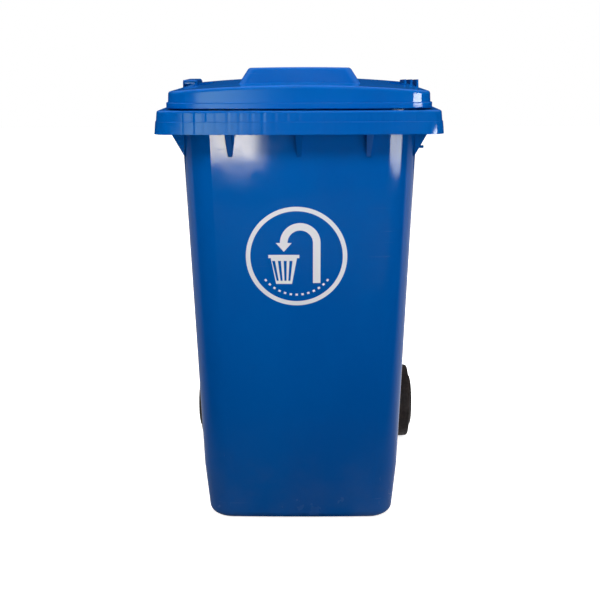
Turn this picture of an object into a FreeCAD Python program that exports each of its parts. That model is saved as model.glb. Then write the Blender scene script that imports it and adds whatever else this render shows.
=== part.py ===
"""Two-wheeled refuse bin of about 240 litres: a tapered moulded tub with a comb rim for lifting, a lid,
a handle bar on the hinge line, and two rubber-tyred wheels that snap onto a loose steel axle.

Frame: +X is the bin's right as seen from the front, +Y points to the handle, +Z is up, z = 0 is the ground.
The origin is under the centre of the bounding box. Lengths are millimetres.
"""

import FreeCAD
import Part

import math
import os

V = FreeCAD.Vector
X_AXIS, Y_AXIS, Z_AXIS = V(1, 0, 0), V(0, 1, 0), V(0, 0, 1)
SIDES = {"left": -1, "right": 1}

# Overall
HALF_WIDTH = 294.0
HALF_DEPTH = 365.0
WALL = 4.0
TUB_TOP = 888.0  # underside of the comb rim
RIM_TOP = 935.0
MOUTH_LIP = 2.6  # a thin lip on the tub's wall stands this far above the rim's ledge, inside the lid
MOUTH_LIP_INSET = 0.6

# Tub plan at the ground and at TUB_TOP: each pair is (value at z = 0, value at TUB_TOP)
TUB_FRONT = (-262.0, -308.0)
TUB_BACK = (262.0, 268.0)
TUB_HALF_FRONT = (220.0, 247.0)
TUB_HALF_BACK = (214.0, 254.0)
TUB_TUCK = 7.0  # how much the sides draw in below TUB_KNEE_Z
TUB_KNEE_Z = 120.0
TUB_R_FRONT = (58.0, 66.0)
TUB_R_BACK = (44.0, 50.0)
TUB_BOW = (4.0, 7.0)
BASE_ROUND = 18.0
BASE_RECESS = 8.0
BASE_FOOT = 34.0  # width of the foot ring round the base recess
HEEL_FOOT_Y = 172.0  # where the sloping heel meets the ground
HEEL_TOP_Z = 240.0

# Comb rim
RIM_SKIN = 4.5
RIM_FLARE = 5.0  # how much wider the skirt's foot is than its top
RIM_STEP_Z = 913.0
RIM_STEP = 1.3
RIM_BACK = 288.0
RIM_R_FRONT = 32.0
RIM_R_BACK = 42.0
RIM_BOW = 8.0
RIM_EDGE_ROUND = 5.0
RIM_CUT_Y = (-240.0, 140.0)  # where the rim's nodes meet: front comb, sides, rear
COMB_PITCH = 23.6
COMB_RIBS = 19
COMB_RIB_T = 2.6
COMB_RIB_DEPTH = 9.0
GUSSET_PITCH = 143.0
GUSSET_FOOT_Z = 839.0
GUSSET_TOP_W = 14.0
GUSSET_FOOT_W = 9.0
SIDE_GUSSET_T = 5.0
SIDE_GUSSET_Y = (-262.0, -110.0, 50.0, 165.0)
SIDE_GUSSET_SETBACK = 26.0  # from the rim's face to the gusset's foot on the rim
PEG_R = 3.0  # small moulded peg on the right front gusset
PEG_ROUND = 1.2
PEG_Z = 855.0
PEG_REACH = 18.0

# Hinge line, brackets and handle
HINGE_Y = 348.0
HINGE_Z = 934.0
BOSS_R = 17.0
HANDLE_R = 15.0
HANDLE_PLATE = (204.0, 212.0)
BRACKET_X = (259.0, 294.0)
BRACKET_WEB = 5.0
BRACKET_FRONT_Y = 160.0
BRACKET_TOP_Z = 982.0
PIN_R = 6.97
PIN_BORE_R = 7.0
EYE_BORE_R = 7.05
PIN_HEAD_R = 11.0
PIN_HEAD_T = 5.0
PIN_HEAD_SLACK = 0.2
PIN_SUNK = 0.5  # how far the head lies below the bracket's face
PIN_TIP_X = 206.0

# Lid
LID_FOOT_Z = 938.0
LIP_TOP_Z = 949.5
LIP_STEP = 3.0
LID_HALF = 272.0
LID_FRONT = -348.0
LID_BACK = 280.0
LID_R_FRONT = 46.0
LID_R_BACK = 20.0
LID_BOW = 10.0
LID_SKIN = 3.8
LID_CROWN_Z = 984.0  # top of the arch
LID_SAG = 13.0  # how far the arch falls from the middle to the sides
LID_RISE_DEG = 0.15  # rise towards the hinge
LID_EDGE_ROUND = 6.5
LID_WAIST_X = 254.0  # the lid narrows to this half width between the brackets
LID_WAIST_Y = 150.0
POCKET_X = (212.0, 250.0)  # long pockets in the lid's top beside the brackets
POCKET_Y = (-40.0, 200.0)
POCKET_Z = 956.0
ARM_X = (216.0, 250.0)
ARM_TOP_Z = 968.0
HUMP_TOP_Z = 1017.0
HUMP_SAG = 1.2
HUMP_RISE_DEG = -1.0
HUMP_HALF = (150.0, 110.0)  # foot, top
HUMP_FRONT = (-178.0, -156.0)
HUMP_BACK = (140.0, 108.0)
HUMP_R = 20.0
HUMP_ROUND = 9.0
LID_RIB_T = 3.0
LID_RIB_DEPTH = 8.0
LID_RIB_X = (-190.0, 190.0)
LID_RIB_Y = (-270.0, 210.0)

# Axle and wheels
AXLE_Y = 272.0
WHEEL_R = 100.0
AXLE_R = 10.0
AXLE_SHIFT = 9.5  # the loose axle lies this far to the right of centre
AXLE_END_X = 281.5
CARRIER_X = (40.0, 120.0, 196.0)  # ribs that hold the axle, on each side
CARRIER_T = 6.0
CARRIER_BOSS_R = 17.0
CARRIER_BOSS_L = 26.0
OUTER_BOSS_END_X = 222.0
WASHER_X = (232.5, 235.5)
WASHER_R = 17.0
TYRE_X = (236.5, 284.0)
TYRE_INNER_R = 79.0
TYRE_SHOULDER = 9.0
HUB_BORE_R = 13.0
RUNNING_SLACK = 0.05
HUB_BOSS_R = 36.0
HUB_FACE_X = 292.5
WEB_X = (257.0, 261.0)
WEB_R = (32.0, 75.0)
SPOKE_X = (243.0, 282.0)
SPOKE_T = 6.0
SPOKES = 8
HUB_RIM_T = 6.0
HUB_LIP_R = (58.0, 68.0)  # the raised ring on the hub's outer face
CAP_R = (26.0, 30.0)  # plug, flange
CAP_T = (8.9, 3.5)
CAP_SLACK = 0.15
GROOVE_X = (250.0, 258.0)
GROOVE_R = 7.6
LOCK_X = 254.0
LOCK_R = 3.0
LOCK_SLACK = 0.08
LOCK_TIP = 7.9
LOCK_BACK = 22.0
LOCK_HOLE_END = 32.0
SPRING_WIRE_R = 0.45

# Printed sign on the front
SIGN_X = -6.5
SIGN_Z = 626.0
SIGN_R = 108.0
SIGN_RING_W = 9.5
DASHES = 13
DASH_R = 84.0
DASH_ARC_DEG = (-142.0, -38.0)
DASH_HALF = (2.6, 2.2)
PAIL_SLOTS = 4
INK = 0.3


def mix(pair, share):
    return pair[0] + (pair[1] - pair[0]) * share


def fuse_all(shapes):
    first = shapes[0]
    if len(shapes) == 1:
        return first
    return first.fuse(shapes[1:]).removeSplitter()


def box(x0, x1, y0, y1, z0, z1):
    return Part.makeBox(x1 - x0, y1 - y0, z1 - z0, V(x0, y0, z0))


def cylinder_x(radius, x0, x1, y, z):
    return Part.makeCylinder(radius, x1 - x0, V(x0, y, z), X_AXIS)


def prism_x(points, x0, x1):
    """Extrudes a polygon of (y, z) points from x0 to x1."""
    corners = [V(x0, y, z) for y, z in points]
    face = Part.Face(Part.makePolygon(corners + corners[:1]))
    return face.extrude(V(x1 - x0, 0, 0))


def prism_y(points, y0, y1):
    """Extrudes a polygon of (x, z) points from y0 to y1."""
    corners = [V(x, y0, z) for x, z in points]
    face = Part.Face(Part.makePolygon(corners + corners[:1]))
    return face.extrude(V(0, y1 - y0, 0))


def mirrored(shape):
    return shape.mirror(V(0, 0, 0), X_AXIS)


def arc_about(centre, start, end, z):
    """The short arc round centre from start to end, as an edge; points are (x, y)."""
    radius = math.dist(centre, start)
    mid = ((start[0] + end[0]) / 2 - centre[0], (start[1] + end[1]) / 2 - centre[1])
    scale = radius / math.hypot(*mid)
    via = V(centre[0] + mid[0] * scale, centre[1] + mid[1] * scale, z)
    return Part.Arc(V(*start, z), via, V(*end, z)).toShape()


def plan_wire(z, front, back, half_front, half_back, r_front, r_back, bow):
    """A rounded trapezium whose front edge bows forward by bow, with all its corners tangent."""
    big_r = half_front**2 / (2 * bow) + bow / 2
    big_centre = (0.0, front + big_r)
    run = (half_back - half_front, back - (front + bow))
    length = math.hypot(*run)
    along = (run[0] / length, run[1] / length)
    inward = (-along[1], along[0])

    def on_side(offset, distance):
        return (
            half_front + inward[0] * offset + along[0] * distance,
            front + bow + inward[1] * offset + along[1] * distance,
        )

    start = on_side(r_front, 0.0)
    gap = (start[0] - big_centre[0], start[1] - big_centre[1])
    b = gap[0] * along[0] + gap[1] * along[1]
    c = gap[0] ** 2 + gap[1] ** 2 - (big_r - r_front) ** 2
    front_run = -b - math.sqrt(b * b - c)
    front_centre = on_side(r_front, front_run)
    reach = big_r / (big_r - r_front)
    bow_end = tuple(m + (f - m) * reach for m, f in zip(big_centre, front_centre))
    side_start = on_side(0.0, front_run)
    back_run = (back - r_back - on_side(r_back, 0.0)[1]) / along[1]
    back_centre = on_side(r_back, back_run)
    side_end = on_side(0.0, back_run)
    back_end = (back_centre[0], back)

    def flip(point):
        return (-point[0], point[1])

    edges = [
        Part.Arc(V(*flip(bow_end), z), V(0, front, z), V(*bow_end, z)).toShape(),
        arc_about(front_centre, bow_end, side_start, z),
        Part.makeLine(V(*side_start, z), V(*side_end, z)),
        arc_about(back_centre, side_end, back_end, z),
        Part.makeLine(V(*back_end, z), V(*flip(back_end), z)),
        arc_about(flip(back_centre), flip(back_end), flip(side_end), z),
        Part.makeLine(V(*flip(side_end), z), V(*flip(side_start), z)),
        arc_about(flip(front_centre), flip(side_start), flip(bow_end), z),
    ]
    return Part.Wire(edges)


def loft(*wires):
    return Part.makeLoft(list(wires), True, True)


def largest(shape):
    return max(shape.Solids, key=lambda s: s.Volume)


def fillet_where(shape, radius, chosen):
    """Rounds every edge for which chosen(edge) is true."""
    edges = [e for e in shape.Edges if chosen(e)]
    return shape.makeFillet(radius, edges)


def all_at_z(edge, z, slack=0.05):
    box_ = edge.BoundBox
    return abs(box_.ZMin - z) < slack and abs(box_.ZMax - z) < slack


# ---- tub and comb rim ----------------------------------------------------------------------------


def tub_wire(z, inset=0.0):
    share = z / TUB_TOP
    narrowing = inset + TUB_TUCK * max(0.0, 1 - z / TUB_KNEE_Z)
    return plan_wire(
        z,
        mix(TUB_FRONT, share) + inset,
        mix(TUB_BACK, share) - inset,
        mix(TUB_HALF_FRONT, share) - narrowing,
        mix(TUB_HALF_BACK, share) - narrowing,
        mix(TUB_R_FRONT, share) - inset,
        mix(TUB_R_BACK, share) - inset,
        mix(TUB_BOW, share),
    )


def heel_wedge(inset=0.0):
    """What is cut away under the back of the tub to make room for the axle."""
    slope = math.atan2(HEEL_TOP_Z, mix(TUB_BACK, HEEL_TOP_Z / TUB_TOP) - HEEL_FOOT_Y)
    shift = inset / math.sin(slope)
    foot, run = HEEL_FOOT_Y - shift, HEEL_TOP_Z / math.tan(slope)
    grow = 2.0
    points = [
        (foot - run * grow / 4, -HEEL_TOP_Z * grow / 4),
        (foot + run * grow, HEEL_TOP_Z * grow),
        (foot + run * grow, -HEEL_TOP_Z * grow / 4),
    ]
    return prism_x(points, -HALF_WIDTH, HALF_WIDTH)


def tub_block(inset, floor, top, rounding):
    """The tub's solid form, inset from its outer face, with a rounded base."""
    sections = [tub_wire(z, inset) for z in (floor, TUB_KNEE_Z, top)]
    block = loft(*sections).cut(heel_wedge(inset))

    def base_edge(edge):
        return edge.BoundBox.ZMin < floor + 0.05 and edge.BoundBox.ZMax < HEEL_TOP_Z * 1.2

    return fillet_where(largest(block), rounding, base_edge)


def rim_wire(z, half, front, back, inset=0.0):
    return plan_wire(
        z,
        front + inset,
        back - inset,
        half - inset,
        half - inset,
        RIM_R_FRONT - inset,
        RIM_R_BACK - inset,
        RIM_BOW,
    )


def rim_outline(z, inset=0.0):
    """The skirt's plan at height z: it flares out towards its foot."""
    narrow = RIM_FLARE * (z - TUB_TOP) / (RIM_TOP - TUB_TOP)
    return rim_wire(z, HALF_WIDTH, -HALF_DEPTH, RIM_BACK, inset + narrow)


def rim_pocket():
    """The space under the rim's ledge, inside its skirt."""
    return loft(rim_outline(TUB_TOP - 1, RIM_SKIN), rim_outline(RIM_TOP - RIM_SKIN, RIM_SKIN))


def comb_rim():
    """The turned-down rim: a flat top ledge and a skirt in two bands, the upper one stepped back."""
    lower = loft(rim_outline(TUB_TOP), rim_outline(RIM_STEP_Z))
    upper = loft(rim_outline(RIM_STEP_Z, RIM_STEP), rim_outline(RIM_TOP, RIM_STEP))
    upper = fillet_where(upper, RIM_EDGE_ROUND, lambda e: all_at_z(e, RIM_TOP))
    return lower.fuse(upper).cut(rim_pocket())


def comb_ribs():
    """Short ribs inside the front skirt, which guide a lifting comb's teeth."""
    pocket = rim_pocket()
    half_t = COMB_RIB_T / 2
    ribs = []
    for i in range(COMB_RIBS):
        x = (i - (COMB_RIBS - 1) / 2) * COMB_PITCH
        back = -HALF_DEPTH + RIM_SKIN + COMB_RIB_DEPTH + RIM_BOW * (x / HALF_WIDTH) ** 2
        rib = box(x - half_t, x + half_t, -HALF_DEPTH, back, TUB_TOP + 4, RIM_TOP)
        ribs.append(rib.common(pocket))
    return ribs


def front_gusset(x):
    """A tapered box rib that props the front rim off the tub wall."""
    wall_top = mix(TUB_FRONT, 1.0) + 6
    wall_foot = mix(TUB_FRONT, GUSSET_FOOT_Z / TUB_TOP) + 3
    reach_top = -HALF_DEPTH + RIM_SKIN + 6
    reach_foot = wall_foot - 5

    def ring(z, half, near, far):
        x0, x1 = x - half, x + half
        corners = [V(x0, near, z), V(x1, near, z), V(x1, far, z), V(x0, far, z)]
        return Part.makePolygon(corners + corners[:1])

    half_top, half_foot = GUSSET_TOP_W / 2, GUSSET_FOOT_W / 2
    prop = loft(
        ring(GUSSET_FOOT_Z, half_foot, reach_foot, wall_foot),
        ring(TUB_TOP, half_top, reach_top, wall_top),
    )
    upright = box(x - half_top, x + half_top, -HALF_DEPTH, wall_top, TUB_TOP, RIM_TOP)
    return prop.fuse(upright.common(rim_pocket()))


def side_gusset(y):
    """A triangular web under the side rim."""
    share = (y - TUB_FRONT[1]) / (TUB_BACK[1] - TUB_FRONT[1])
    wall = TUB_HALF_FRONT[1] + (TUB_HALF_BACK[1] - TUB_HALF_FRONT[1]) * share - 3
    outer = HALF_WIDTH - SIDE_GUSSET_SETBACK
    points = [
        (wall - 3, GUSSET_FOOT_Z - 4),
        (wall - 3, RIM_TOP - 2),
        (HALF_WIDTH - RIM_FLARE - 3, RIM_TOP - 2),
        (HALF_WIDTH - RIM_SKIN + 1, TUB_TOP + 10),
        (outer, TUB_TOP - 6),
    ]
    half_t = SIDE_GUSSET_T / 2
    return prism_y(points, y - half_t, y + half_t)


def gusset_peg():
    """A small peg on the sloping edge of the right front gusset."""
    y, root = SIDE_GUSSET_Y[0], TUB_HALF_FRONT[1] - 4
    peg = cylinder_x(PEG_R, root, root + PEG_REACH, y, PEG_Z)
    return fillet_where(peg, PEG_ROUND, lambda e: e.BoundBox.XMin > root + PEG_REACH - 1)


def bracket_profile():
    """Side view (y, z) of a rear bracket web, without its hinge boss."""
    return [
        (BRACKET_FRONT_Y, RIM_TOP - 3),
        (BRACKET_FRONT_Y, RIM_TOP + 22),
        (BRACKET_FRONT_Y + 12, BRACKET_TOP_Z),
        (HINGE_Y - 56, BRACKET_TOP_Z - 4),
        (HINGE_Y + 6, HINGE_Z + BOSS_R - 1),
        (HINGE_Y, HINGE_Z - BOSS_R),
        (RIM_BACK - 12, 893.0),
        (RIM_BACK - 40, RIM_TOP - 3),
    ]


def brackets():
    """The right rear bracket: three upright webs, joined by the hinge boss and a tie."""
    x0, x1 = BRACKET_X
    pitch = (x1 - x0 - BRACKET_WEB) / 2
    side = [
        prism_x(bracket_profile(), x0 + i * pitch, x0 + i * pitch + BRACKET_WEB)
        for i in range(3)
    ]
    side.append(cylinder_x(BOSS_R, x0, x1, HINGE_Y, HINGE_Z))
    tie = [
        (HINGE_Y - 4, HINGE_Z - BOSS_R + 1),
        (HINGE_Y - 4, HINGE_Z - BOSS_R + 5),
        (RIM_BACK - 10, 899.0),
        (RIM_BACK - 10, 894.0),
    ]
    side.append(prism_x(tie, x0, x1))
    return side


def left_bracket_cap():
    """The left bracket's webs are closed over by a rounded top."""
    x0, x1 = -BRACKET_X[1], -BRACKET_X[0]
    cap = box(x0, x1, BRACKET_FRONT_Y, HINGE_Y - 60, BRACKET_TOP_Z - 14, BRACKET_TOP_Z + 0.5)
    rounded = [
        e
        for e in cap.Edges
        if e.BoundBox.ZMin > BRACKET_TOP_Z or abs(e.BoundBox.YMax - BRACKET_FRONT_Y) < 0.1
    ]
    return cap.makeFillet(5.5, rounded)


def handle():
    """The handle bar on the hinge line, with the plates that carry it."""
    x0, x1 = HANDLE_PLATE
    plate_profile = [
        (RIM_BACK - 8, RIM_TOP - 2),
        (HINGE_Y, HINGE_Z + BOSS_R - 0.5),
        (HINGE_Y, HINGE_Z - BOSS_R + 0.5),
        (RIM_BACK - 8, 893.0),
    ]
    plates = [prism_x(plate_profile, x0, x1), cylinder_x(BOSS_R, x0, x1, HINGE_Y, HINGE_Z)]
    plates += [mirrored(p) for p in plates]
    return plates + [cylinder_x(HANDLE_R, -x0, x0, HINGE_Y, HINGE_Z)]


def axle_carrier():
    """The right-hand ribs behind the heel, with bosses that the axle lies in."""
    parts = []
    profile = [
        (HEEL_FOOT_Y + 14, 22.0),
        (HEEL_FOOT_Y + 34, 20.0),
        (AXLE_Y + CARRIER_BOSS_R - 5, WHEEL_R - 12),
        (AXLE_Y + CARRIER_BOSS_R - 5, WHEEL_R + 12),
        (TUB_BACK[0] - 2, HEEL_TOP_Z - 6),
        (TUB_BACK[0] - 14, HEEL_TOP_Z - 6),
    ]
    for x in CARRIER_X:
        parts.append(prism_x(profile, x - CARRIER_T / 2, x + CARRIER_T / 2))
        end = OUTER_BOSS_END_X if x == CARRIER_X[-1] else x + CARRIER_BOSS_L / 2
        parts.append(cylinder_x(CARRIER_BOSS_R, x - CARRIER_BOSS_L / 2, end, AXLE_Y, WHEEL_R))
    return parts


def foot_recess():
    """A shallow recess under the floor, which leaves a foot ring to stand on."""
    front = TUB_FRONT[0] + BASE_FOOT
    wire = plan_wire(
        -1.0, front, HEEL_FOOT_Y - BASE_FOOT, 170.0, 168.0, 30.0, 30.0, TUB_BOW[0]
    )
    return Part.Face(wire).extrude(V(0, 0, BASE_RECESS + 1))


def mouth_lip():
    """The low wall round the tub's mouth, above the rim's ledge."""
    root, top = RIM_TOP - 2, RIM_TOP + MOUTH_LIP
    near, far = MOUTH_LIP_INSET, WALL - MOUTH_LIP_INSET
    return loft(tub_wire(root, near), tub_wire(top, near)).cut(
        loft(tub_wire(root - 1, far), tub_wire(top + 1, far))
    )


def tub():
    """The tapered tub with its foot ring, and its walls up to the lip round its mouth."""
    outer = tub_block(0.0, 0.0, RIM_TOP, BASE_ROUND)
    cavity = tub_block(WALL, BASE_RECESS + 5, RIM_TOP + 5, BASE_ROUND - WALL)
    return largest(outer.cut([cavity, foot_recess()]).fuse(mouth_lip()))


def rim():
    """The whole rim round the tub, with the ribs and gussets under it."""
    parts = [comb_rim()] + comb_ribs()
    parts += [front_gusset(i * GUSSET_PITCH) for i in (-1, 0, 1)]
    webs = [side_gusset(y) for y in SIDE_GUSSET_Y]
    parts += webs + [mirrored(w) for w in webs] + [gusset_peg()]
    return largest(fuse_all(parts).cut(tub_block(0.0, 0.0, RIM_TOP, BASE_ROUND)))


def hinge_bores():
    """The bores for both hinge pins, with seats for their heads."""
    seat_x = HALF_WIDTH - PIN_HEAD_T - PIN_SUNK
    bores = [
        cylinder_x(PIN_BORE_R, PIN_TIP_X - 1, HALF_WIDTH + 1, HINGE_Y, HINGE_Z),
        cylinder_x(PIN_HEAD_R + PIN_HEAD_SLACK, seat_x, HALF_WIDTH + 1, HINGE_Y, HINGE_Z),
    ]
    return bores + [mirrored(b) for b in bores]


def bin_pieces():
    """The tub's moulding, as nodes that meet face to face."""
    whole_rim = rim()
    (cut_front, cut_rear), side = RIM_CUT_Y, HALF_WIDTH + 1
    near, far = -HALF_DEPTH - 1, HALF_DEPTH + 1
    lengths = {
        "comb_rim": (-side, side, near, cut_front),
        "left_side_rim": (-side, 0, cut_front, cut_rear),
        "right_side_rim": (0, side, cut_front, cut_rear),
        "rear_rim": (-side, side, cut_rear, far),
    }
    found = {"tub": tub()}
    for name, (x0, x1, y0, y1) in lengths.items():
        found[name] = largest(whole_rim.common(box(x0, x1, y0, y1, 0, RIM_TOP + 1)))
    right = brackets()
    left = [mirrored(s) for s in right] + [left_bracket_cap()]
    for name, parts in {"left_bracket": left, "right_bracket": right, "handle": handle()}.items():
        found[name] = largest(fuse_all(parts).cut(whole_rim)).cut(hinge_bores())
    bore = cylinder_x(AXLE_R + RUNNING_SLACK, -HALF_WIDTH, HALF_WIDTH, AXLE_Y, WHEEL_R)
    carrier = fuse_all(axle_carrier()).cut([tub_block(0.0, 0.0, RIM_TOP, BASE_ROUND), bore])
    found["left_axle_carrier"] = mirrored(carrier)
    found["right_axle_carrier"] = carrier
    return found


# ---- lid -----------------------------------------------------------------------------------------


def lid_wire(z, inset=0.0):
    return plan_wire(
        z,
        LID_FRONT + inset,
        LID_BACK - inset,
        LID_HALF - inset,
        LID_HALF - inset,
        LID_R_FRONT - inset,
        LID_R_BACK - inset * 0.5,
        LID_BOW,
    )


def under_arch(half, sag, rise_deg, front, top_z):
    """A huge cylinder whose top is an arch through (0, front, top_z) that rises towards the back."""
    radius = half**2 / (2 * sag)
    rise = math.radians(rise_deg)
    along = V(0, math.cos(rise), math.sin(rise))
    down = V(0, math.sin(rise), -math.cos(rise))
    start = V(0, front, top_z) + down * radius - along * 100
    arch = Part.makeCylinder(radius, 1000, start, along)
    arch.rotate(start, along, 180)  # turns the seam to the underside
    return arch


def lid_block(inset, foot, drop):
    """The lid's solid form, inset from its outer face and with its top lowered by drop."""
    skirt = loft(lid_wire(foot, inset + LIP_STEP), lid_wire(LID_CROWN_Z + 10, inset + LIP_STEP + 3))
    block = skirt.common(under_arch(LID_HALF, LID_SAG, LID_RISE_DEG, LID_FRONT, LID_CROWN_Z - drop))
    above = LID_CROWN_Z + 20
    waist = box(LID_WAIST_X - inset, HALF_WIDTH, LID_WAIST_Y - inset, HALF_DEPTH, foot - 5, above)
    (x0, x1), (y0, y1) = POCKET_X, POCKET_Y
    pocket = box(x0 - inset, x1 + inset, y0 - inset, y1 + inset, POCKET_Z - drop, above)
    cuts = [waist, pocket]
    return block.cut(cuts + [mirrored(c) for c in cuts])


def hump_block(inset, drop):
    """The raised box in the middle of the lid."""

    def ring(z, share):
        half = mix(HUMP_HALF, share) - inset
        return plan_wire(
            z,
            mix(HUMP_FRONT, share) + inset,
            mix(HUMP_BACK, share) - inset,
            half,
            half,
            HUMP_R - inset,
            HUMP_R - inset,
            1.5,
        )

    foot_z = LIP_TOP_Z + 6
    block = loft(ring(foot_z, 0.0), ring(HUMP_TOP_Z, 1.0))
    arch = under_arch(HUMP_HALF[1], HUMP_SAG, HUMP_RISE_DEG, HUMP_FRONT[1], HUMP_TOP_Z - drop)
    block = largest(block.common(arch))
    return fillet_where(block, HUMP_ROUND - inset * 0.8, lambda e: e.BoundBox.ZMin > LID_CROWN_Z)


def hinge_arm():
    """One of the two arms that reach back from the lid to its hinge eye."""
    x0, x1 = ARM_X
    profile = [
        (LID_BACK - 30, LID_FOOT_Z + 1),
        (LID_BACK - 30, ARM_TOP_Z),
        (LID_BACK + 8, ARM_TOP_Z),
        (HINGE_Y + 7, HINGE_Z + BOSS_R - 1.5),
        (HINGE_Y, HINGE_Z - BOSS_R + 3),
        (RIM_BACK + 14, LID_FOOT_Z + 1),
    ]
    return prism_x(profile, x0, x1).fuse(cylinder_x(BOSS_R, x0, x1, HINGE_Y, HINGE_Z))


def lid_ribs(inner):
    """Stiffening ribs under the lid, hanging LID_RIB_DEPTH from its underside."""
    lowered = inner.copy()
    lowered.translate(V(0, 0, -LID_RIB_DEPTH))
    layer = inner.cut(lowered)
    half_t = LID_RIB_T / 2
    slabs = [
        box(x - half_t, x + half_t, LID_FRONT + 10, LID_BACK - 10, LIP_TOP_Z + 2, LID_CROWN_Z)
        for x in LID_RIB_X
    ]
    slabs += [
        box(LID_RIB_X[0] - 10, LID_RIB_X[1] + 10, y - half_t, y + half_t, LIP_TOP_Z + 2, LID_CROWN_Z)
        for y in LID_RIB_Y
    ]
    return [layer.common(s) for s in slabs]


def lid():
    outer = fillet_where(
        largest(lid_block(0.0, LID_FOOT_Z + 1, 0.0)),
        LID_EDGE_ROUND,
        is_lid_top_edge,
    )
    lip = loft(lid_wire(LID_FOOT_Z), lid_wire(LIP_TOP_Z))
    lip = fillet_where(lip, 1.5, lambda e: all_at_z(e, LIP_TOP_Z) or all_at_z(e, LID_FOOT_Z))
    waist = box(LID_WAIST_X, HALF_WIDTH, LID_WAIST_Y, HALF_DEPTH, LID_FOOT_Z - 5, LIP_TOP_Z + 5)
    lip = lip.cut([waist, mirrored(waist)])
    inner = largest(lid_block(LID_SKIN, LID_FOOT_Z - 3, LID_SKIN))
    hump = hump_block(0.0, 0.0)
    hollow = hump_block(LID_SKIN, LID_SKIN)
    shell = fuse_all([outer, lip, hump])
    shell = shell.cut([inner, hollow])
    arms = [hinge_arm()]
    arms.append(mirrored(arms[0]))
    solid = fuse_all([shell] + arms + lid_ribs(inner.cut(hollow)))
    bore = cylinder_x(EYE_BORE_R, ARM_X[0] - 5, ARM_X[1] + 5, HINGE_Y, HINGE_Z)
    return largest(solid.cut([bore, mirrored(bore)]))


def is_lid_top_edge(edge):
    """True for the edges round the lid's arched top, except round its shelves and waist."""
    b = edge.BoundBox
    on_front = b.YMax < LID_FRONT + LID_R_FRONT + 10
    on_side = b.YMax < LID_WAIST_Y + 1 and abs(b.XMin) > LID_WAIST_X and abs(b.XMax) > LID_WAIST_X
    return b.ZMin > LIP_TOP_Z + 4 and (on_front or on_side)


def hinge_pin(side):
    """A pin from the outer bracket face inwards, with a flat head sunk in the boss."""
    face_x = HALF_WIDTH - PIN_SUNK
    shank = cylinder_x(PIN_R, PIN_TIP_X, face_x - PIN_HEAD_T, HINGE_Y, HINGE_Z)
    head = cylinder_x(PIN_HEAD_R, face_x - PIN_HEAD_T, face_x, HINGE_Y, HINGE_Z)
    pin = fillet_where(shank.fuse(head).removeSplitter(), 1.0, lambda e: e.BoundBox.XMin > face_x - 0.1)
    return pin if side > 0 else mirrored(pin)


# ---- axle and wheels -----------------------------------------------------------------------------


def revolve_x(points, y=AXLE_Y, z=WHEEL_R):
    """Turns a polygon of (x, radius) points about the axle's line."""
    corners = [V(x, y, z + r) for x, r in points]
    face = Part.Face(Part.makePolygon(corners + corners[:1]))
    return face.revolve(V(0, y, z), X_AXIS, 360)


def placed(shape, side):
    """Mirrors a right-hand wheel piece for the left side, then shifts it with the loose axle."""
    done = shape if side > 0 else mirrored(shape)
    done.translate(V(AXLE_SHIFT, 0, 0))
    return done


def axle():
    bar = cylinder_x(AXLE_R, -AXLE_END_X, AXLE_END_X, AXLE_Y, WHEEL_R)
    ends = [e for e in bar.Edges if e.BoundBox.XLength < 0.1]
    bar = bar.makeChamfer(2.0, ends)
    x0, x1 = GROOVE_X
    groove = cylinder_x(AXLE_R + 2, x0, x1, AXLE_Y, WHEEL_R).cut(
        cylinder_x(GROOVE_R, x0, x1, AXLE_Y, WHEEL_R)
    )
    bar = bar.cut([groove, mirrored(groove)])
    bar.translate(V(AXLE_SHIFT, 0, 0))
    return bar


def washer():
    x0, x1 = WASHER_X
    ring = cylinder_x(WASHER_R, x0, x1, AXLE_Y, WHEEL_R)
    return ring.cut(cylinder_x(AXLE_R + RUNNING_SLACK, x0, x1, AXLE_Y, WHEEL_R))


def tyre():
    x0, x1 = TYRE_X
    s = TYRE_SHOULDER
    crown = WHEEL_R
    body = revolve_x(
        [
            (x0 + 1, TYRE_INNER_R),
            (x0, TYRE_INNER_R + 4),
            (x0, crown - 2),
            (x0 + s * 1.6, crown),
            (x1 - s * 1.6, crown),
            (x1, crown - 2),
            (x1, TYRE_INNER_R + 4),
            (x1 - 1, TYRE_INNER_R),
        ]
    )
    shoulders = [
        e
        for e in body.Edges
        if e.BoundBox.XLength < 0.1 and abs(e.BoundBox.ZLength / 2 - (crown - 2)) < 0.1
    ]
    return body.makeFillet(s * 0.75, shoulders)


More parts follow.
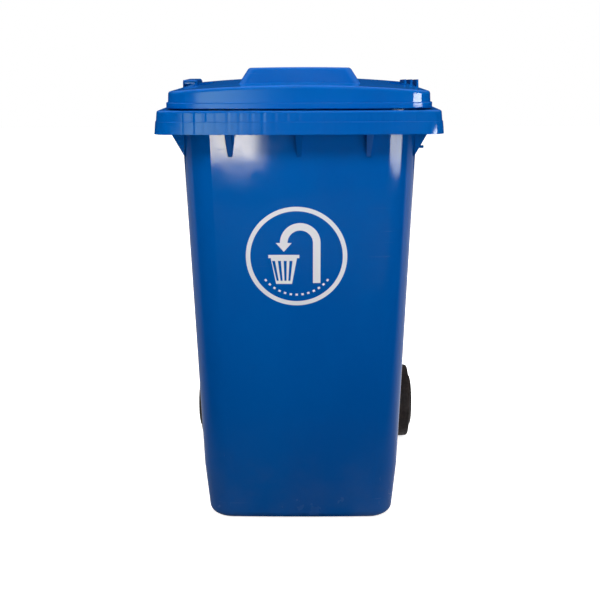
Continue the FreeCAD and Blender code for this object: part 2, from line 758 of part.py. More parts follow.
def hub():
    """The moulded hub: rim, dished web with spokes, and the boss that holds the bush and the lock."""
    x0, x1 = TYRE_X
    face = HUB_FACE_X
    seat_r = TYRE_INNER_R - RUNNING_SLACK
    lip_in, lip_out = HUB_LIP_R
    rim = revolve_x(
        [
            (x0 + 2, TYRE_INNER_R - HUB_RIM_T),
            (x0 + 2, seat_r),
            (x1 - 1.2, seat_r),
            (x1 + 1, TYRE_INNER_R - 5),
            (face - 1.5, lip_out),
            (face, lip_in + 4),
            (face, lip_in),
            (x1 - 4, lip_in + 4),
            (x1 - 8, TYRE_INNER_R - HUB_RIM_T),
        ]
    )
    web = revolve_x([(x, r) for x, r in zip(WEB_X + WEB_X[::-1], (WEB_R[0],) * 2 + (WEB_R[1],) * 2)])
    boss = cylinder_x(HUB_BOSS_R, x0 + 0.5, face - CAP_T[1], AXLE_Y, WHEEL_R)
    spokes = []
    for i in range(SPOKES):
        spoke = box(*SPOKE_X, -SPOKE_T / 2, SPOKE_T / 2, *WEB_R)
        spoke.translate(V(0, AXLE_Y, WHEEL_R))
        spoke.rotate(V(0, AXLE_Y, WHEEL_R), X_AXIS, 360 / SPOKES * (i + 0.5))
        spokes.append(spoke)
    body = fuse_all([rim, web, boss] + spokes)
    bore = cylinder_x(HUB_BORE_R, x0 - 1, AXLE_END_X + 0.5, AXLE_Y, WHEEL_R)
    lock_hole = Part.makeCylinder(LOCK_R + LOCK_SLACK, LOCK_HOLE_END, V(LOCK_X, AXLE_Y, WHEEL_R), Z_AXIS)
    cap_seat = cylinder_x(CAP_R[0] + CAP_SLACK, face - CAP_T[0] - 0.1, face + 1, AXLE_Y, WHEEL_R)
    return largest(body.cut([bore, lock_hole, cap_seat]))


def bush():
    """A nylon sleeve in the hub's bore, with a window for the lock."""
    x0 = TYRE_X[0]
    sleeve = cylinder_x(HUB_BORE_R - 0.02, x0 + 0.5, AXLE_END_X + 0.4, AXLE_Y, WHEEL_R)
    sleeve = sleeve.cut(cylinder_x(AXLE_R + RUNNING_SLACK, x0 - 1, AXLE_END_X + 2, AXLE_Y, WHEEL_R))
    return sleeve.cut(Part.makeCylinder(LOCK_R + LOCK_SLACK, 30, V(LOCK_X, AXLE_Y, WHEEL_R), Z_AXIS))


def hub_cap():
    """The round cap that closes the hub's outer face over the axle's end."""
    face = HUB_FACE_X
    (plug_r, flange_r), (back, seat) = CAP_R, CAP_T
    return revolve_x(
        [
            (face - back, 0.0),
            (face - back, plug_r),
            (face - seat, plug_r),
            (face - seat, flange_r),
            (face - 1.5, flange_r - 1),
            (face - 0.2, plug_r - 2),
            (face, plug_r - 10),
            (face, 0.0),
        ]
    )


def lock_pin():
    """The spring-loaded plunger whose tip rides in the axle's groove."""
    stem = Part.makeCylinder(LOCK_R, LOCK_BACK - LOCK_TIP, V(LOCK_X, AXLE_Y, WHEEL_R + LOCK_TIP), Z_AXIS)
    return stem.makeChamfer(0.8, [e for e in stem.Edges if all_at_z(e, WHEEL_R + LOCK_TIP)])


def lock_spring():
    radius = LOCK_R - SPRING_WIRE_R - 0.1
    length = LOCK_HOLE_END - LOCK_BACK - 2 * SPRING_WIRE_R - 0.2
    helix = Part.makeHelix(length / 4, length, radius)
    start = V(radius, 0, 0)
    profile = Part.Wire([Part.makeCircle(SPRING_WIRE_R, start, Y_AXIS)])
    coil = Part.Wire(helix.Edges).makePipeShell([profile], True, True)
    coil = Part.Solid(coil) if coil.ShapeType == "Shell" else coil
    coil.translate(V(LOCK_X, AXLE_Y, WHEEL_R + LOCK_BACK + SPRING_WIRE_R + 0.1))
    return coil


# ---- printed sign --------------------------------------------------------------------------------


def sign_shapes():
    """The sign as prisms along Y: a ring, a slotted pail, a hooked arrow and a dashed arc."""
    y0, y1 = -HALF_DEPTH, -200.0

    def disc(radius):
        return Part.makeCylinder(radius, y1 - y0, V(SIGN_X, y0, SIGN_Z), Y_AXIS)

    def shape(points):
        return prism_y([(SIGN_X + u, SIGN_Z + w) for u, w in points], y0, y1)

    ring = disc(SIGN_R).cut(disc(SIGN_R - SIGN_RING_W))
    pail = shape([(-60, 4), (-60, -3), (-55, -3), (-44, -60), (-10, -60), (1, -3), (6, -3), (6, 4)])
    for k in range(PAIL_SLOTS):
        top, foot = -49.0 + k * 12.4, -40.5 + k * 8.3
        pail = pail.cut(shape([(top - 3.2, -9), (foot - 2.2, -53), (foot + 2.2, -53), (top + 3.2, -9)]))
    arrow = hooked_arrow(y0, y1)
    dashes = []
    along, across = DASH_HALF
    for k in range(DASHES):
        angle = math.radians(mix(DASH_ARC_DEG, k / (DASHES - 1)))
        dash = box(-along, along, y0, y1, -across, across)
        dash.rotate(V(0, 0, 0), Y_AXIS, -math.degrees(angle) - 90)
        dash.translate(V(SIGN_X + DASH_R * math.cos(angle), 0, SIGN_Z + DASH_R * math.sin(angle)))
        dashes.append(dash)
    return [ring, pail, arrow] + dashes


def hooked_arrow(y0, y1):
    """An arrow that rises on the right, turns over in a half circle and points down into the pail."""
    bend_x, bend_z, radius, half_w = 8.0, 30.0, 35.0, 8.0
    centre = V(SIGN_X + bend_x, y0, SIGN_Z + bend_z)
    bend = Part.makeCylinder(radius + half_w, y1 - y0, centre, Y_AXIS)
    bend = bend.cut(Part.makeCylinder(radius - half_w, y1 - y0, centre, Y_AXIS))
    bend = bend.common(box(-HALF_WIDTH, HALF_WIDTH, y0, y1, SIGN_Z + bend_z, SIGN_Z + 200))

    def shape(points):
        return prism_y([(SIGN_X + u, SIGN_Z + w) for u, w in points], y0, y1)

    right, left = bend_x + radius, bend_x - radius
    foot_z = -58.0
    stem_sides = (right - half_w, right + half_w)
    stem = shape([(u, w) for u, w in zip(stem_sides + stem_sides[::-1], (foot_z, foot_z, bend_z, bend_z))])
    head = shape([(left - 17, bend_z), (left + 17, bend_z), (left, bend_z - 19)])
    return fuse_all([bend, stem, head])


def front_print():
    """The sign's ink: a thin film that lies on the tub's front wall."""
    low, high = SIGN_Z - SIGN_R - 10, SIGN_Z + SIGN_R + 10
    film = loft(tub_wire(low, -INK), tub_wire(high, -INK)).cut(loft(tub_wire(low - 1), tub_wire(high + 1)))
    film = film.common(box(-HALF_WIDTH, HALF_WIDTH, -HALF_DEPTH, -150, low, high))
    inked = [film.common(s) for s in sign_shapes()]
    return Part.makeCompound([s for shape in inked for s in shape.Solids])


def pieces():
    """Every piece of the bin by its node name."""
    found = bin_pieces()
    found |= {"lid": lid(), "front_print": front_print(), "axle": axle()}
    wheel_parts = {
        "axle_washer": washer,
        "tyre": tyre,
        "wheel_hub": hub,
        "wheel_bush": bush,
        "hub_cap": hub_cap,
        "wheel_lock_pin": lock_pin,
        "wheel_lock_spring": lock_spring,
    }
    for name, side in SIDES.items():
        found[f"{name}_hinge_pin"] = hinge_pin(side)
        for part_name, make in wheel_parts.items():
            found[f"{name}_{part_name}"] = placed(make(), side)
    return found


def main():
    os.makedirs("parts", exist_ok=True)
    for name, shape in pieces().items():
        if not shape.isValid():
            print("not valid:", name)
        print(f"{name}: {len(shape.Solids)} solids, {shape.Volume / 1000:.1f} cm3, {len(shape.Faces)} faces")
        shape.exportStep(f"parts/{name}.step")


main()
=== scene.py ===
"""Looks for a blue two-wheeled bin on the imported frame: moulded plastic, rubber, zinc, nylon and printed ink,
with a pale floor, studio light and the camera. Lengths are in metres."""
import math
from typing import NamedTuple

import bmesh
import bpy
from mathutils import Matrix, Vector


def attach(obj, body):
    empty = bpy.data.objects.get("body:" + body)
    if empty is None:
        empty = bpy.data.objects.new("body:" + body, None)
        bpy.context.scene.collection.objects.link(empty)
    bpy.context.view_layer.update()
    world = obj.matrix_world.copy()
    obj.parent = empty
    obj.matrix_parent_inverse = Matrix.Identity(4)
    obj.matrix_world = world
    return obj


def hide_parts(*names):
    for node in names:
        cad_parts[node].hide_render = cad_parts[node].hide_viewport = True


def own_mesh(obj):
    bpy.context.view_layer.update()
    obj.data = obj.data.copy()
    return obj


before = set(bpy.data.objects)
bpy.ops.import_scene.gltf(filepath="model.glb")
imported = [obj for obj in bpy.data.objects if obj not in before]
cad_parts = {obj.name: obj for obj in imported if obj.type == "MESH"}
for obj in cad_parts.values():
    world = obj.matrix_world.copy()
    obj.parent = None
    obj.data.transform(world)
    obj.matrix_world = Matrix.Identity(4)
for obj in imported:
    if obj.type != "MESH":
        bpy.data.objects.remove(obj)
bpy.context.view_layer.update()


class Pattern(NamedTuple):
    """A noise texture, the stretch and offset of its space, and the band of its values that becomes low to
    high."""
    scale: float
    detail: float = 3.0
    roughness: float = 0.5
    stretch: tuple = (1.0, 1.0, 1.0)
    offset: tuple = (0.0, 0.0, 0.0)
    band: tuple = (0.3, 0.7)
    low: float = 0.0
    high: float = 1.0


class Lamp(NamedTuple):
    """A softbox. radiance is what a mirror would show of it at full spread."""
    name: str
    place: tuple
    target: tuple
    size: tuple
    radiance: float
    spread_deg: float = 180.0


class Card(NamedTuple):
    """A lit reflector. fade is the share of its half size over which the light dies away at its left, right,
    bottom and top, and left_rest is how much is left at its left edge."""
    name: str
    place: tuple
    target: tuple
    size: tuple
    colour: tuple
    fade: tuple
    left_rest: float = 0.0


# Colours are linear RGB.
LID_BLUE = (0.0, 0.112, 0.455)
LID_BLUE_DEEP = (0.0, 0.098, 0.420)
BODY_BLUE = (0.0, 0.105, 0.430)
BODY_BLUE_DEEP = (0.0, 0.094, 0.400)
SCUFF_BLUE = (0.060, 0.190, 0.480)
DUST = (0.180, 0.200, 0.230)
PIN_BLUE = (0.0, 0.060, 0.260)
PIN_BLUE_DEEP = (0.0, 0.050, 0.230)
INK = (0.800, 0.810, 0.840)
INK_WORN = (0.420, 0.500, 0.660)
RUBBER = (0.0100, 0.0058, 0.0050)
RUBBER_DUSTY = (0.034, 0.021, 0.017)
HUB_BLACK = (0.0120, 0.0075, 0.0065)
HUB_SCUFFED = (0.036, 0.024, 0.020)
ZINC = (0.560, 0.570, 0.590)
ZINC_DULL = (0.340, 0.350, 0.370)
STEEL = (0.420, 0.400, 0.380)
STEEL_DARK = (0.160, 0.140, 0.125)
NYLON = (0.620, 0.600, 0.540)
NYLON_GREASY = (0.330, 0.300, 0.240)
FLOOR_PALE = (0.93, 0.93, 0.93)
FLOOR_SHADE = (0.91, 0.91, 0.915)
WHITE = (1.0, 1.0, 1.0)

MOULDING = ["tub", "left_side_rim", "right_side_rim", "rear_rim", "left_bracket", "right_bracket", "handle",
            "left_axle_carrier", "right_axle_carrier"]

# The rim's skirt
RIM_CUTS_Y = (-0.240, 0.140)    # the rim's nodes meet here, and the one moulding goes on unbroken
CUT_MARGIN = 1.2                # the edge rounding stays off for this many radii each side of a cut
COMB_PITCH = 0.0236             # between the ribs behind the skirt, which leave sink marks in its face
SINK_HALF_WIDTH = 0.0062
SINK_DEPTH = 0.00022
SINK_SPAN = 0.236               # the ribs end this far from the middle
SINK_SPAN_FADE = 0.003
SINK_FRONT_Y = (-0.300, -0.330)     # the marks come in between these, on the front face
SINK_LOWER_SHARE = 0.45         # of the depth, in the lower band
RIM_STEP = 0.913                # height of the line that divides the skirt into two bands
RIM_STEP_FADE = (-0.0005, 0.0015)
RIM_FOOT = 0.888
RIM_FOOT_FADE = 0.004
SINK_UNEVEN = Pattern(1.0, 0.0, stretch=(31.0, 0.0, 0.0), offset=(3.7, 0.0, 0.0), low=0.55)

# Edges, in the shading only
EDGE_RADIUS = 0.0012            # of moulded edges
METAL_EDGE_RADIUS = 0.0004
BEVEL_SAMPLES = 4
EDGE_LEAN = (0.995, 0.80)       # cosine between the true and rounded normals, on flat ground and on an edge

# Plastic
BODY_GLOSS = 0.045              # roughness of the glossy coat, at its smoothest
LID_GLOSS = 0.040
PIN_GLOSS = 0.12
GLOSS_RANGE = 0.05
COAT = 0.62
BASE_DULLER = 0.28              # the base is this much rougher than its coat
FLOW = Pattern(3.2, 4.0, 0.55, stretch=(1.0, 1.0, 0.45), band=(0.36, 0.64))
EDGE_WEAR = Pattern(11.0, 3.0, 0.6, band=(0.42, 0.66), low=0.10, high=0.42)
SCRATCHES_ACROSS = Pattern(5.0, 5.0, 0.62, stretch=(0.9, 0.9, 46.0), band=(0.655, 0.70))
SCRATCHES_DOWN = Pattern(6.0, 5.0, 0.60, stretch=(52.0, 52.0, 1.1), band=(0.665, 0.71))
SCRATCHED_PLACES = Pattern(4.0, 2.0, offset=(1.3, 2.1, 0.4), band=(0.45, 0.62))
SCRATCH_TINT = 0.16
SCRATCH_ROUGHNESS = 0.20
GLOSS_CLOUDS = Pattern(26.0, 4.0, 0.6)
DUST_TOP = 0.30                 # dust reaches this height
DUST_FILM = Pattern(14.0, 5.0, 0.62, band=(0.30, 0.72), low=0.10, high=0.46)
DUST_TINT = 0.18
DUST_ROUGHNESS = 0.5
SLACK = Pattern(7.5, 2.0, 0.45)     # the waves in flat faces
SLACK_DEPTH = 0.00080
SPARK_GRAIN = Pattern(1500.0, 2.0, 0.6)
SPARK_GRAIN_DEPTH = 0.000016

# Ink
INK_SPECKS = Pattern(420.0, 3.0, 0.7, band=(0.66, 0.74), high=0.5)
INK_RUBS = Pattern(38.0, 4.0, 0.6, offset=(0.2, 0.5, 0.9), band=(0.60, 0.78), high=0.30)
INK_GLOSS = Pattern(90.0, low=0.40, high=0.55)
INK_GRAIN = Pattern(900.0, 2.0)
INK_GRAIN_DEPTH = 0.00002
INK_SPECULAR = 0.3

# Wheels
WHEEL_WEAR = Pattern(60.0, 5.0, 0.65, band=(0.42, 0.72), high=0.75)
WHEEL_WORN_PLACES = Pattern(9.0, 3.0, 0.6, offset=(5.0, 1.0, 2.0), band=(0.35, 0.65), low=0.35)
WHEEL_EDGE_WEAR = 0.55
WHEEL_CLOUDS = Pattern(110.0, 4.0, 0.6)
PORES = Pattern(700.0, 3.0, 0.7)
PORE_DEPTH = 0.00006
MOULD_RINGS = Pattern(1.0, 0.0, stretch=(420.0, 0.0, 0.0))
TYRE_ROUGHNESS = (0.55, 0.80)
TYRE_RING_DEPTH = 0.00010
HUB_ROUGHNESS = (0.32, 0.50)
HUB_RING_DEPTH = 0.00002
WHEEL_SPECULAR = 0.2

# Metal and nylon
METAL_PATCHES = Pattern(45.0, 4.0, 0.6, band=(0.38, 0.68))
CRYSTAL_SHARE = 0.35            # of the crystals in how dull the metal is
PATCH_SHARE = 0.5
DRAWN_LINES = Pattern(30.0, 3.0, 0.6, stretch=(40.0, 1.0, 1.0))
DRAWN_DEPTH = 0.00003
ZINC_ROUGHNESS = (0.24, 0.50)
ZINC_CRYSTALS = 190.0           # per metre
STEEL_ROUGHNESS = (0.30, 0.50)
STEEL_CRYSTALS = 600.0
GREASE = Pattern(80.0, 4.0, 0.6, band=(0.35, 0.65))
NYLON_ROUGHNESS = 0.45
GREASE_ROUGHNESS = 0.28
NYLON_GRAIN = Pattern(500.0, 2.0)
NYLON_GRAIN_DEPTH = 0.00003

# Floor and surroundings
FLOOR_SIZE = 12.0
FLOOR_CELLS = 8
FLOOR_CLOUDS = Pattern(1.3)
FLOOR_ROUGHNESS = 0.9
FLOOR_SPECULAR = 0.1
FLOOR_GLOW = 0.80               # of its own, so that it shows nearly white
# The surroundings are as bright as the one ramp, by how far up a ray goes, times the other, by how far back.
SKY_UPWARD = {"From Min": 0.20, "From Max": 0.90, "To Min": 0.012, "To Max": 0.90}
SKY_BACKWARD = {"From Min": -0.70, "From Max": 0.10, "To Min": 0.10, "To Max": 1.0}

SOFTBOXES = [
    Lamp("key_softbox", (-0.1, -1.5, 1.9), (0, -0.3, 1.02), (0.9, 0.5), 2.15, 75),
    Lamp("front_fill", (0.8, -4.1, 1.0), (0, 0, 0.5), (3.0, 2.0), 2.6),
    Lamp("low_fill", (0.3, -2.1, 0.12), (0, -0.3, 0.92), (1.8, 0.3), 1.1, 70),
    Lamp("back_fill", (0.4, 3.6, 2.4), (0, 0, 0.5), (2.6, 2.0), 2.2),
    Lamp("left_fill", (-3.4, 0.9, 1.3), (0, 0.1, 0.5), (2.4, 1.8), 3.2),
    Lamp("right_fill", (3.4, 0.9, 1.3), (0, 0.1, 0.5), (2.4, 1.8), 3.2),
    Lamp("top_softbox", (0.0, 0.2, 3.2), (0, 0.1, 0.9), (2.2, 2.2), 2.2),
]
CARDS = [
    Card("lid_sheen_card", (-0.525, -3.6, 1.12), (-0.15, -0.35, 0.95), (0.81, 0.80), (3.2, 4.6, 3.4),
         (0.02, 2.0, 0.1, 0.1)),
    Card("body_patch_card", (-0.52, -2.9, 0.38), (-0.14, -0.3, 0.84), (0.56, 0.28), (28, 26, 22),
         (0.9, 0.6, 0.5, 0.1), left_rest=0.35),
    Card("right_high_card", (1.70, -1.96, 0.99), (0.18, -0.3, 0.95), (1.90, 0.34), (27, 27.5, 28),
         (0.05, 0.3, 0.2, 0.1)),
    Card("right_low_card", (1.70, -1.96, 0.41), (0.18, -0.3, 0.85), (1.90, 0.26), (15, 15, 14),
         (0.05, 0.3, 0.5, 0.6)),
    Card("right_floor_card", (3.3, 2.2, 0.004), (3.3, 2.2, 2), (6.4, 5.6), (1.0, 1.0, 1.05),
         (0.6, 0.02, 0.3, 0.3)),
    Card("left_floor_card", (-3.3, 2.2, 0.004), (-3.3, 2.2, 2), (6.4, 5.6), (0.60, 0.60, 0.60),
         (0.02, 0.6, 0.3, 0.3)),
]

# Camera
SENSOR_MM = 36.0
LENS_MM = 59.02
SHIFT_X = -0.8 / 600            # of the frame's width
CAMERA_PLACE = (0, -2.3469, 1.0459)     # before it is turned round the bin
CAMERA_DOWN_DEG = 14.0803
CAMERA_ROLL_DEG = -0.18
CAMERA_AROUND_DEG = 0.45        # to the right round the bin

# Blender's Mix node has one set of sockets for each kind of data.
MIX_FACTOR = 0
MIX_VECTORS = (4, 5)
MIX_COLOURS = (6, 7)
MIXED_VECTOR = 1
MIXED_COLOUR = 2


class Shader:
    """A material's node tree, with one short call for each kind of node that it needs."""

    def __init__(self, name):
        self.material = bpy.data.materials.new(name)
        self.material.use_nodes = True
        self.tree = self.material.node_tree
        self.tree.nodes.clear()
        self.position = self.node("TexCoord").outputs["Object"]
        parts = self.node("SeparateXYZ", Vector=self.position)
        self.x, self.y, self.z = parts.outputs

    def node(self, kind, settings=(), **sockets):
        made = self.tree.nodes.new("ShaderNode" + kind)
        for key, value in dict(settings).items():
            setattr(made, key, value)
        for key, value in sockets.items():
            self.join(made.inputs[key.replace("_", " ")], value)
        return made

    def join(self, socket, value):
        if isinstance(value, bpy.types.NodeSocket):
            self.tree.links.new(value, socket)
        elif socket.type == "RGBA":
            socket.default_value = (*value, 1.0)
        else:
            socket.default_value = value

    def maths(self, operation, *values, clamp=False):
        made = self.node("Math", {"operation": operation, "use_clamp": clamp})
        for socket, value in zip(made.inputs, values):
            self.join(socket, value)
        return made.outputs[0]

    def spread(self, value, start, end, low=0.0, high=1.0):
        """value's range start to end becomes low to high, with soft ends."""
        made = self.node("MapRange", {"interpolation_type": "SMOOTHSTEP"}, Value=value, From_Min=start,
                         From_Max=end, To_Min=low, To_Max=high)
        return made.outputs[0]

    def noise(self, pattern):
        """The pattern's bare noise, for heights."""
        place = self.node("Mapping", Vector=self.position, Scale=pattern.stretch, Location=pattern.offset)
        made = self.node("TexNoise", Vector=place.outputs[0], Scale=pattern.scale, Detail=pattern.detail,
                         Roughness=pattern.roughness)
        return made.outputs[0]

    def mask(self, pattern):
        """The pattern's noise with its band spread from low to high."""
        return self.spread(self.noise(pattern), *pattern.band, pattern.low, pattern.high)

    def clouds(self, pattern, low, high):
        """The pattern's mask from low to high, in place of its own."""
        return self.mask(pattern._replace(low=low, high=high))

    def mix(self, data_type, factor, sockets, values, output):
        made = self.node("Mix", {"data_type": data_type, "clamp_factor": True})
        self.join(made.inputs[MIX_FACTOR], factor)
        for socket, value in zip(sockets, values):
            self.join(made.inputs[socket], value)
        return made.outputs[output]

    def blend(self, factor, first, second):
        """A colour from first, at factor 0, to second."""
        return self.mix("RGBA", factor, MIX_COLOURS, (first, second), MIXED_COLOUR)

    def true_normal(self):
        return self.node("NewGeometry").outputs["Normal"]

    def rounded(self, radius):
        """The normal with edges rounded off by radius."""
        return self.node("Bevel", {"samples": BEVEL_SAMPLES}, Radius=radius).outputs[0]

    def rounded_but_for_cuts(self, radius):
        """The rounded normal, or the true one where two of the rim's nodes meet."""
        apart = 1.0
        for cut in RIM_CUTS_Y:
            away = self.maths("ABSOLUTE", self.maths("SUBTRACT", self.y, cut))
            apart = self.maths("MULTIPLY", apart, self.maths("GREATER_THAN", away, radius * CUT_MARGIN))
        normals = (self.true_normal(), self.rounded(radius))
        return self.mix("VECTOR", apart, MIX_VECTORS, normals, MIXED_VECTOR)

    def edges(self, rounded):
        """1 along edges and 0 on flat ground, from how far the rounded normal leans."""
        lean = self.node("VectorMath", {"operation": "DOT_PRODUCT"})
        self.join(lean.inputs[0], rounded)
        self.join(lean.inputs[1], self.true_normal())
        return self.spread(lean.outputs["Value"], *EDGE_LEAN)

    def bump(self, height, distance, normal=None):
        made = self.node("Bump", Height=height, Distance=distance, Strength=1.0)
        if normal is not None:
            self.join(made.inputs["Normal"], normal)
        return made.outputs[0]

    def surface(self, shader):
        self.tree.links.new(shader.outputs[0], self.node("OutputMaterial").inputs["Surface"])
        return self.material

    def finish(self, **sockets):
        return self.surface(self.node("BsdfPrincipled", **sockets))


def sink_marks(s):
    """Height of the shallow sink marks that the comb ribs leave in the skirt's front face."""
    turns = s.maths("DIVIDE", s.x, COMB_PITCH)
    nearest = s.maths("ROUND", turns)
    across = s.maths("ABSOLUTE", s.maths("MULTIPLY", s.maths("SUBTRACT", turns, nearest), COMB_PITCH))
    depth = s.spread(across, 0.0, SINK_HALF_WIDTH, 1.0, 0.0)
    front = s.spread(s.y, *SINK_FRONT_Y)
    upper = s.spread(s.z, RIM_STEP + RIM_STEP_FADE[0], RIM_STEP + RIM_STEP_FADE[1], SINK_LOWER_SHARE, 1.0)
    inside = s.spread(s.maths("ABSOLUTE", s.x), SINK_SPAN, SINK_SPAN - SINK_SPAN_FADE)
    rim = s.spread(s.z, RIM_FOOT - RIM_FOOT_FADE, RIM_FOOT)
    for share in (s.mask(SINK_UNEVEN), front, upper, inside, rim):
        depth = s.maths("MULTIPLY", depth, share)
    return s.maths("SUBTRACT", 1.0, depth)


def plastic(name, colour, deep, gloss, sunk=False, dusty=True):
    """Moulded polyethylene: an even colour with faint flow, a fine spark-eroded grain, slack flat faces,
    scuffs and dust. Only the coat is glossy."""
    s = Shader(name)
    tone = s.blend(s.mask(FLOW), colour, deep)
    rounded = s.rounded_but_for_cuts(EDGE_RADIUS)
    worn_edge = s.maths("MULTIPLY", s.edges(rounded), s.mask(EDGE_WEAR))
    tone = s.blend(worn_edge, tone, SCUFF_BLUE)
    lines = s.maths("MAXIMUM", s.mask(SCRATCHES_ACROSS), s.mask(SCRATCHES_DOWN))
    scratch = s.maths("MULTIPLY", lines, s.mask(SCRATCHED_PLACES))
    tone = s.blend(s.maths("MULTIPLY", scratch, SCRATCH_TINT), tone, SCUFF_BLUE)
    rough = s.clouds(GLOSS_CLOUDS, gloss, gloss + GLOSS_RANGE)
    rough = s.maths("ADD", rough, s.maths("MULTIPLY", scratch, SCRATCH_ROUGHNESS))
    if dusty:
        film = s.maths("MULTIPLY", s.spread(s.z, DUST_TOP, 0.0), s.mask(DUST_FILM))
        tone = s.blend(s.maths("MULTIPLY", film, DUST_TINT), tone, DUST)
        rough = s.maths("ADD", rough, s.maths("MULTIPLY", film, DUST_ROUGHNESS))
    normal = s.bump(s.noise(SLACK), SLACK_DEPTH, rounded)
    if sunk:
        normal = s.bump(sink_marks(s), SINK_DEPTH, normal)
    grain = s.bump(s.noise(SPARK_GRAIN), SPARK_GRAIN_DEPTH, normal)
    return s.finish(Base_Color=tone, Roughness=s.maths("ADD", rough, BASE_DULLER), Specular_IOR_Level=0.0,
                    Normal=grain, Coat_Weight=COAT, Coat_Roughness=rough, Coat_Normal=normal)


def ink():
    """Screen-printed white ink, with small specks missing and rubbed here and there."""
    s = Shader("white_ink_print")
    tone = s.blend(s.maths("MAXIMUM", s.mask(INK_SPECKS), s.mask(INK_RUBS)), INK, INK_WORN)
    return s.finish(Base_Color=tone, Roughness=s.mask(INK_GLOSS), Specular_IOR_Level=INK_SPECULAR,
                    Normal=s.bump(s.noise(INK_GRAIN), INK_GRAIN_DEPTH))


def wheel_material(name, colour, dusty, roughness, ring_depth):
    """Black rubber or hub plastic: fine moulded rings, dust in the pores."""
    s = Shader(name)
    rounded = s.rounded(EDGE_RADIUS)
    worn = s.maths("MULTIPLY", s.mask(WHEEL_WEAR), s.mask(WHEEL_WORN_PLACES))
    worn = s.maths("MAXIMUM", worn, s.maths("MULTIPLY", s.edges(rounded), WHEEL_EDGE_WEAR))
    normal = s.bump(s.noise(MOULD_RINGS), ring_depth, s.bump(s.noise(PORES), PORE_DEPTH, rounded))
    return s.finish(Base_Color=s.blend(worn, colour, dusty), Roughness=s.clouds(WHEEL_CLOUDS, *roughness),
                    Specular_IOR_Level=WHEEL_SPECULAR, Normal=normal)


def metal(name, bright, dull, roughness, crystals):
    """Bare or zinc-plated steel: crystals of slightly different grey, drawn lines and dull patches."""
    s = Shader(name)
    cells = s.node("TexVoronoi", {"feature": "F1"}, Vector=s.position, Scale=crystals).outputs["Color"]
    level = s.maths("MULTIPLY", s.node("SeparateXYZ", Vector=cells).outputs[0], CRYSTAL_SHARE)
    patches = s.maths("MULTIPLY", s.mask(METAL_PATCHES), PATCH_SHARE)
    mask = s.maths("ADD", level, patches, clamp=True)
    low, high = roughness
    rough = s.maths("ADD", s.maths("MULTIPLY", mask, high - low), low)
    normal = s.bump(s.noise(DRAWN_LINES), DRAWN_DEPTH, s.rounded(METAL_EDGE_RADIUS))
    return s.finish(Base_Color=s.blend(mask, bright, dull), Metallic=1.0, Roughness=rough, Normal=normal)


def nylon():
    """Natural nylon, greyed by grease in patches."""
    s = Shader("bush_nylon_greased")
    grease = s.mask(GREASE)
    rough = s.spread(grease, 0.0, 1.0, NYLON_ROUGHNESS, GREASE_ROUGHNESS)
    return s.finish(Base_Color=s.blend(grease, NYLON, NYLON_GREASY), Roughness=rough,
                    Normal=s.bump(s.noise(NYLON_GRAIN), NYLON_GRAIN_DEPTH))


def floor_material():
    s = Shader("pale_floor")
    tone = s.blend(s.mask(FLOOR_CLOUDS), FLOOR_PALE, FLOOR_SHADE)
    return s.finish(Base_Color=tone, Roughness=FLOOR_ROUGHNESS, Specular_IOR_Level=FLOOR_SPECULAR,
                    Emission_Color=WHITE, Emission_Strength=FLOOR_GLOW)


def dress(nodes, material):
    """Gives CAD nodes a material."""
    for name in nodes:
        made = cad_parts[name]
        made.data.materials.clear()
        made.data.materials.append(material)


def both(name):
    return ["left_" + name, "right_" + name]


def paint_frame():
    comb = plastic("comb_rim_moulded", BODY_BLUE, BODY_BLUE_DEEP, BODY_GLOSS, sunk=True)
    dress(["comb_rim"], comb)
    dress(MOULDING, plastic("body_plastic_moulded", BODY_BLUE, BODY_BLUE_DEEP, BODY_GLOSS))
    lid = plastic("lid_plastic_moulded", LID_BLUE, LID_BLUE_DEEP, LID_GLOSS, dusty=False)
    dress(["lid"], lid)
    pin = plastic("pin_plastic_moulded", PIN_BLUE, PIN_BLUE_DEEP, PIN_GLOSS, dusty=False)
    dress(both("hinge_pin"), pin)
    dress(["front_print"], ink())
    zinc = metal("zinc_plated_steel", ZINC, ZINC_DULL, ZINC_ROUGHNESS, ZINC_CRYSTALS)
    dress(["axle"] + both("axle_washer") + both("wheel_lock_pin"), zinc)
    spring = metal("spring_steel_oiled", STEEL, STEEL_DARK, STEEL_ROUGHNESS, STEEL_CRYSTALS)
    dress(both("wheel_lock_spring"), spring)
    tyre = wheel_material("tyre_rubber_moulded", RUBBER, RUBBER_DUSTY, TYRE_ROUGHNESS, TYRE_RING_DEPTH)
    dress(both("tyre"), tyre)
    hub = wheel_material("hub_plastic_moulded", HUB_BLACK, HUB_SCUFFED, HUB_ROUGHNESS, HUB_RING_DEPTH)
    dress(both("wheel_hub") + both("hub_cap"), hub)
    dress(both("wheel_bush"), nylon())


def link(name, data):
    """A new object in the scene."""
    made = bpy.data.objects.new(name, data)
    bpy.context.scene.collection.objects.link(made)
    return made


def springs():
    """Copies of the lock springs, which go with the wheels in place of the hidden CAD nodes."""
    for side in ("left", "right"):
        node = side + "_wheel_lock_spring"
        coil = link(side + "_coil_spring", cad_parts[node].data.copy())
        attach(coil, side + "_wheel")
        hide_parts(node)
        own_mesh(coil)


def floor():
    mesh = bpy.data.meshes.new("floor")
    made = bmesh.new()
    bmesh.ops.create_grid(made, x_segments=FLOOR_CELLS, y_segments=FLOOR_CELLS, size=FLOOR_SIZE)
    made.to_mesh(mesh)
    made.free()
    mesh.materials.append(floor_material())
    floor_object = link("floor", mesh)
    floor_object.visible_glossy = False
    floor_object.visible_diffuse = False


def aim(made, place, target):
    made.location = place
    turn = (Vector(target) - Vector(place)).to_track_quat("-Z", "Y")
    made.rotation_euler = turn.to_euler()


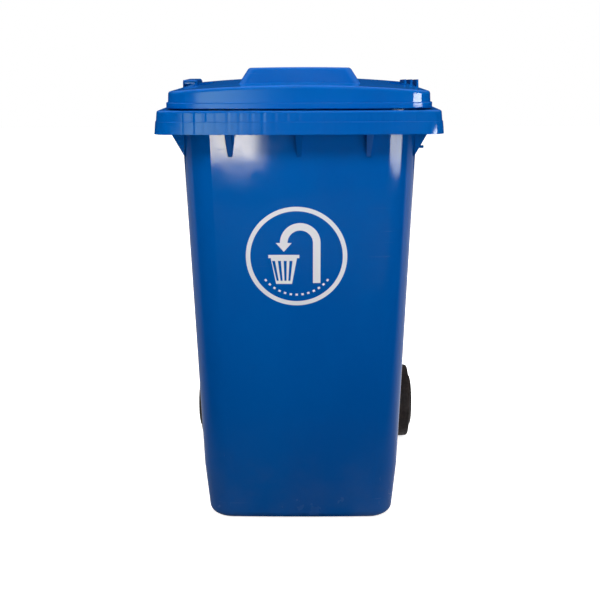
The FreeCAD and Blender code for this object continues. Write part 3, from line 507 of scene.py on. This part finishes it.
def add_softbox(lamp):
    """An area light that the camera and mirror rays don't hit."""
    data = bpy.data.lights.new(lamp.name, "AREA")
    data.shape = "RECTANGLE"
    data.size, data.size_y = lamp.size
    data.energy = lamp.radiance * math.pi * data.size * data.size_y
    data.spread = math.radians(lamp.spread_deg)
    made = link(lamp.name, data)
    aim(made, lamp.place, lamp.target)
    made.visible_camera = False
    made.visible_glossy = False


def card_light(card, half_x, half_y):
    """The card's glow, which dies away at its edges."""
    s = Shader(card.name + "_light")
    level = 1.0
    sides = ((s.x, -half_x, card.left_rest), (s.x, half_x, 0.0), (s.y, -half_y, 0.0), (s.y, half_y, 0.0))
    for (value, edge, rest), share in zip(sides, card.fade):
        level = s.maths("MULTIPLY", level, s.spread(value, edge, edge * (1 - share), rest, 1.0))
    return s.surface(s.node("Emission", Color=card.colour, Strength=level))


def add_card(card):
    """A reflector that only mirror rays see."""
    half_x, half_y = card.size[0] / 2, card.size[1] / 2
    mesh = bpy.data.meshes.new(card.name)
    made = bmesh.new()
    corners = [(-half_x, -half_y), (half_x, -half_y), (half_x, half_y), (-half_x, half_y)]
    made.faces.new([made.verts.new((x, y, 0)) for x, y in corners])
    made.to_mesh(mesh)
    made.free()
    mesh.materials.append(card_light(card, half_x, half_y))
    card_object = link(card.name, mesh)
    aim(card_object, card.place, card.target)
    card_object.visible_camera = False
    card_object.visible_diffuse = False
    card_object.visible_shadow = False


def surroundings():
    """White to the camera. To other rays it is bright above and behind, and dark in front and below, so that
    the front faces mirror only the cards."""
    world = bpy.data.worlds.new("studio")
    bpy.context.scene.world = world
    world.use_nodes = True
    tree = world.node_tree
    tree.nodes.clear()

    def add(kind, **settings):
        made = tree.nodes.new("ShaderNode" + kind)
        for key, value in settings.items():
            setattr(made, key, value)
        return made

    def ramp(direction, values):
        made = add("MapRange", interpolation_type="SMOOTHSTEP")
        tree.links.new(direction, made.inputs["Value"])
        for key, value in values.items():
            made.inputs[key].default_value = value
        return made.outputs[0]

    way = add("SeparateXYZ")
    tree.links.new(add("TexCoord").outputs["Generated"], way.inputs[0])
    both_ways = add("Math", operation="MULTIPLY")
    tree.links.new(ramp(way.outputs["Z"], SKY_UPWARD), both_ways.inputs[0])
    tree.links.new(ramp(way.outputs["Y"], SKY_BACKWARD), both_ways.inputs[1])
    seen = add("Math", operation="MAXIMUM")
    tree.links.new(add("LightPath").outputs["Is Camera Ray"], seen.inputs[0])
    tree.links.new(both_ways.outputs[0], seen.inputs[1])
    sky = add("Background")
    sky.inputs["Color"].default_value = (*WHITE, 1.0)
    tree.links.new(seen.outputs[0], sky.inputs["Strength"])
    tree.links.new(sky.outputs[0], add("OutputWorld").inputs["Surface"])


def camera():
    """Stands in front at about the lid's height, looking down a little."""
    data = bpy.data.cameras.new("camera")
    data.sensor_width = SENSOR_MM
    data.lens = LENS_MM
    data.shift_x = SHIFT_X
    made = link("camera", data)
    around = Matrix.Rotation(math.radians(CAMERA_AROUND_DEG), 4, "Z")
    stand = Matrix.Translation(CAMERA_PLACE)
    tilt = Matrix.Rotation(math.radians(90 - CAMERA_DOWN_DEG), 4, "X")
    roll = Matrix.Rotation(math.radians(CAMERA_ROLL_DEG), 4, "Z")
    made.matrix_world = around @ stand @ tilt @ roll
    bpy.context.scene.camera = made


paint_frame()
springs()
floor()
surroundings()
for softbox in SOFTBOXES:
    add_softbox(softbox)
for reflector in CARDS:
    add_card(reflector)
camera()
bpy.context.scene.view_settings.view_transform = "Standard"
